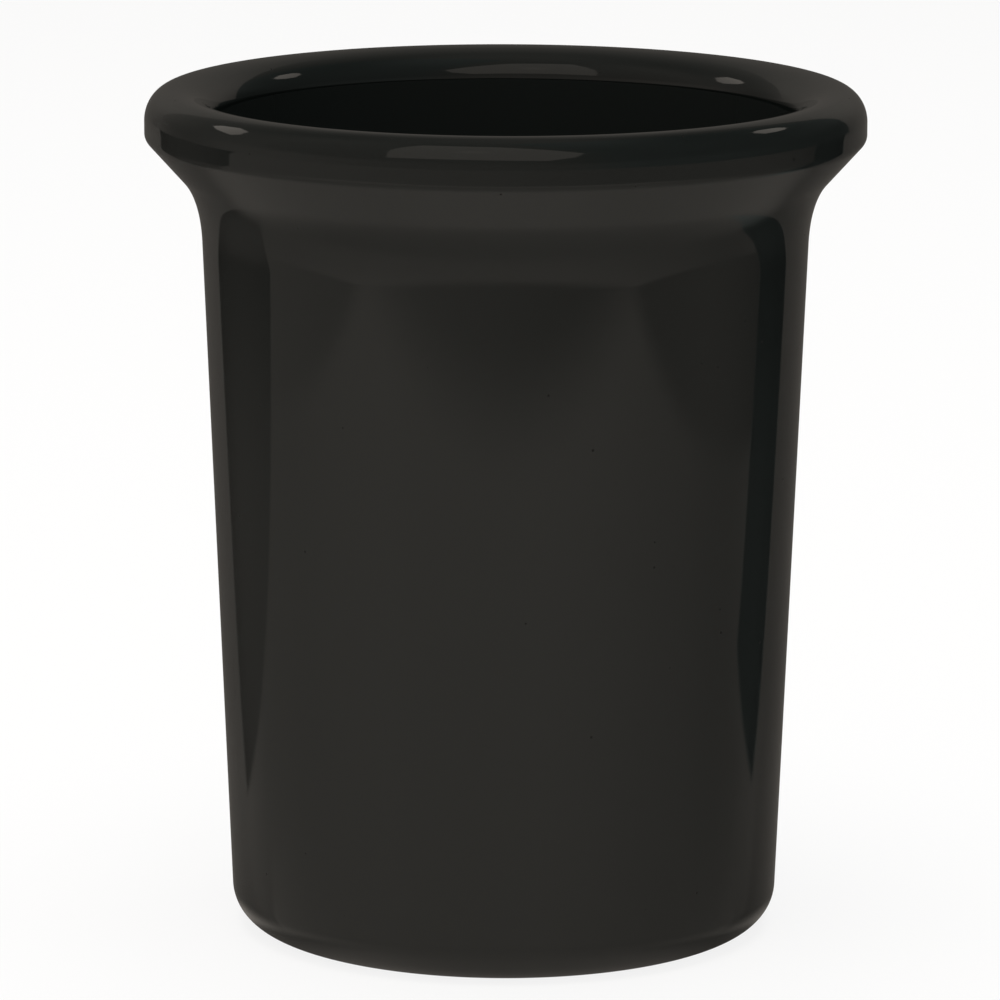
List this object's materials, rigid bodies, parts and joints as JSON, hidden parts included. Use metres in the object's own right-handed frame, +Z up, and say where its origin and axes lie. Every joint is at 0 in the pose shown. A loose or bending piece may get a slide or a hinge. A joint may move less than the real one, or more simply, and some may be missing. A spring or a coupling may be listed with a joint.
{
  "type": "cutlery holder",
  "caption": "Round open-topped cutlery crock in glossy black, with a gently tapering body, a hollow cove under a thick rolled rim and a rounded base edge.",
  "frame": {"origin": "centre of the flat ring that the crock stands on, at table level", "axes": "+Z up along the axis of the turned body; X and Y are level, and -Y faces the picture's camera"},
  "size_m": [0.1142, 0.1142, 0.135],
  "materials": {
    "gloss_black": "polished"
  },
  "bodies": {
    "root": {"crock": "gloss_black"}
  },
  "joints": []
}
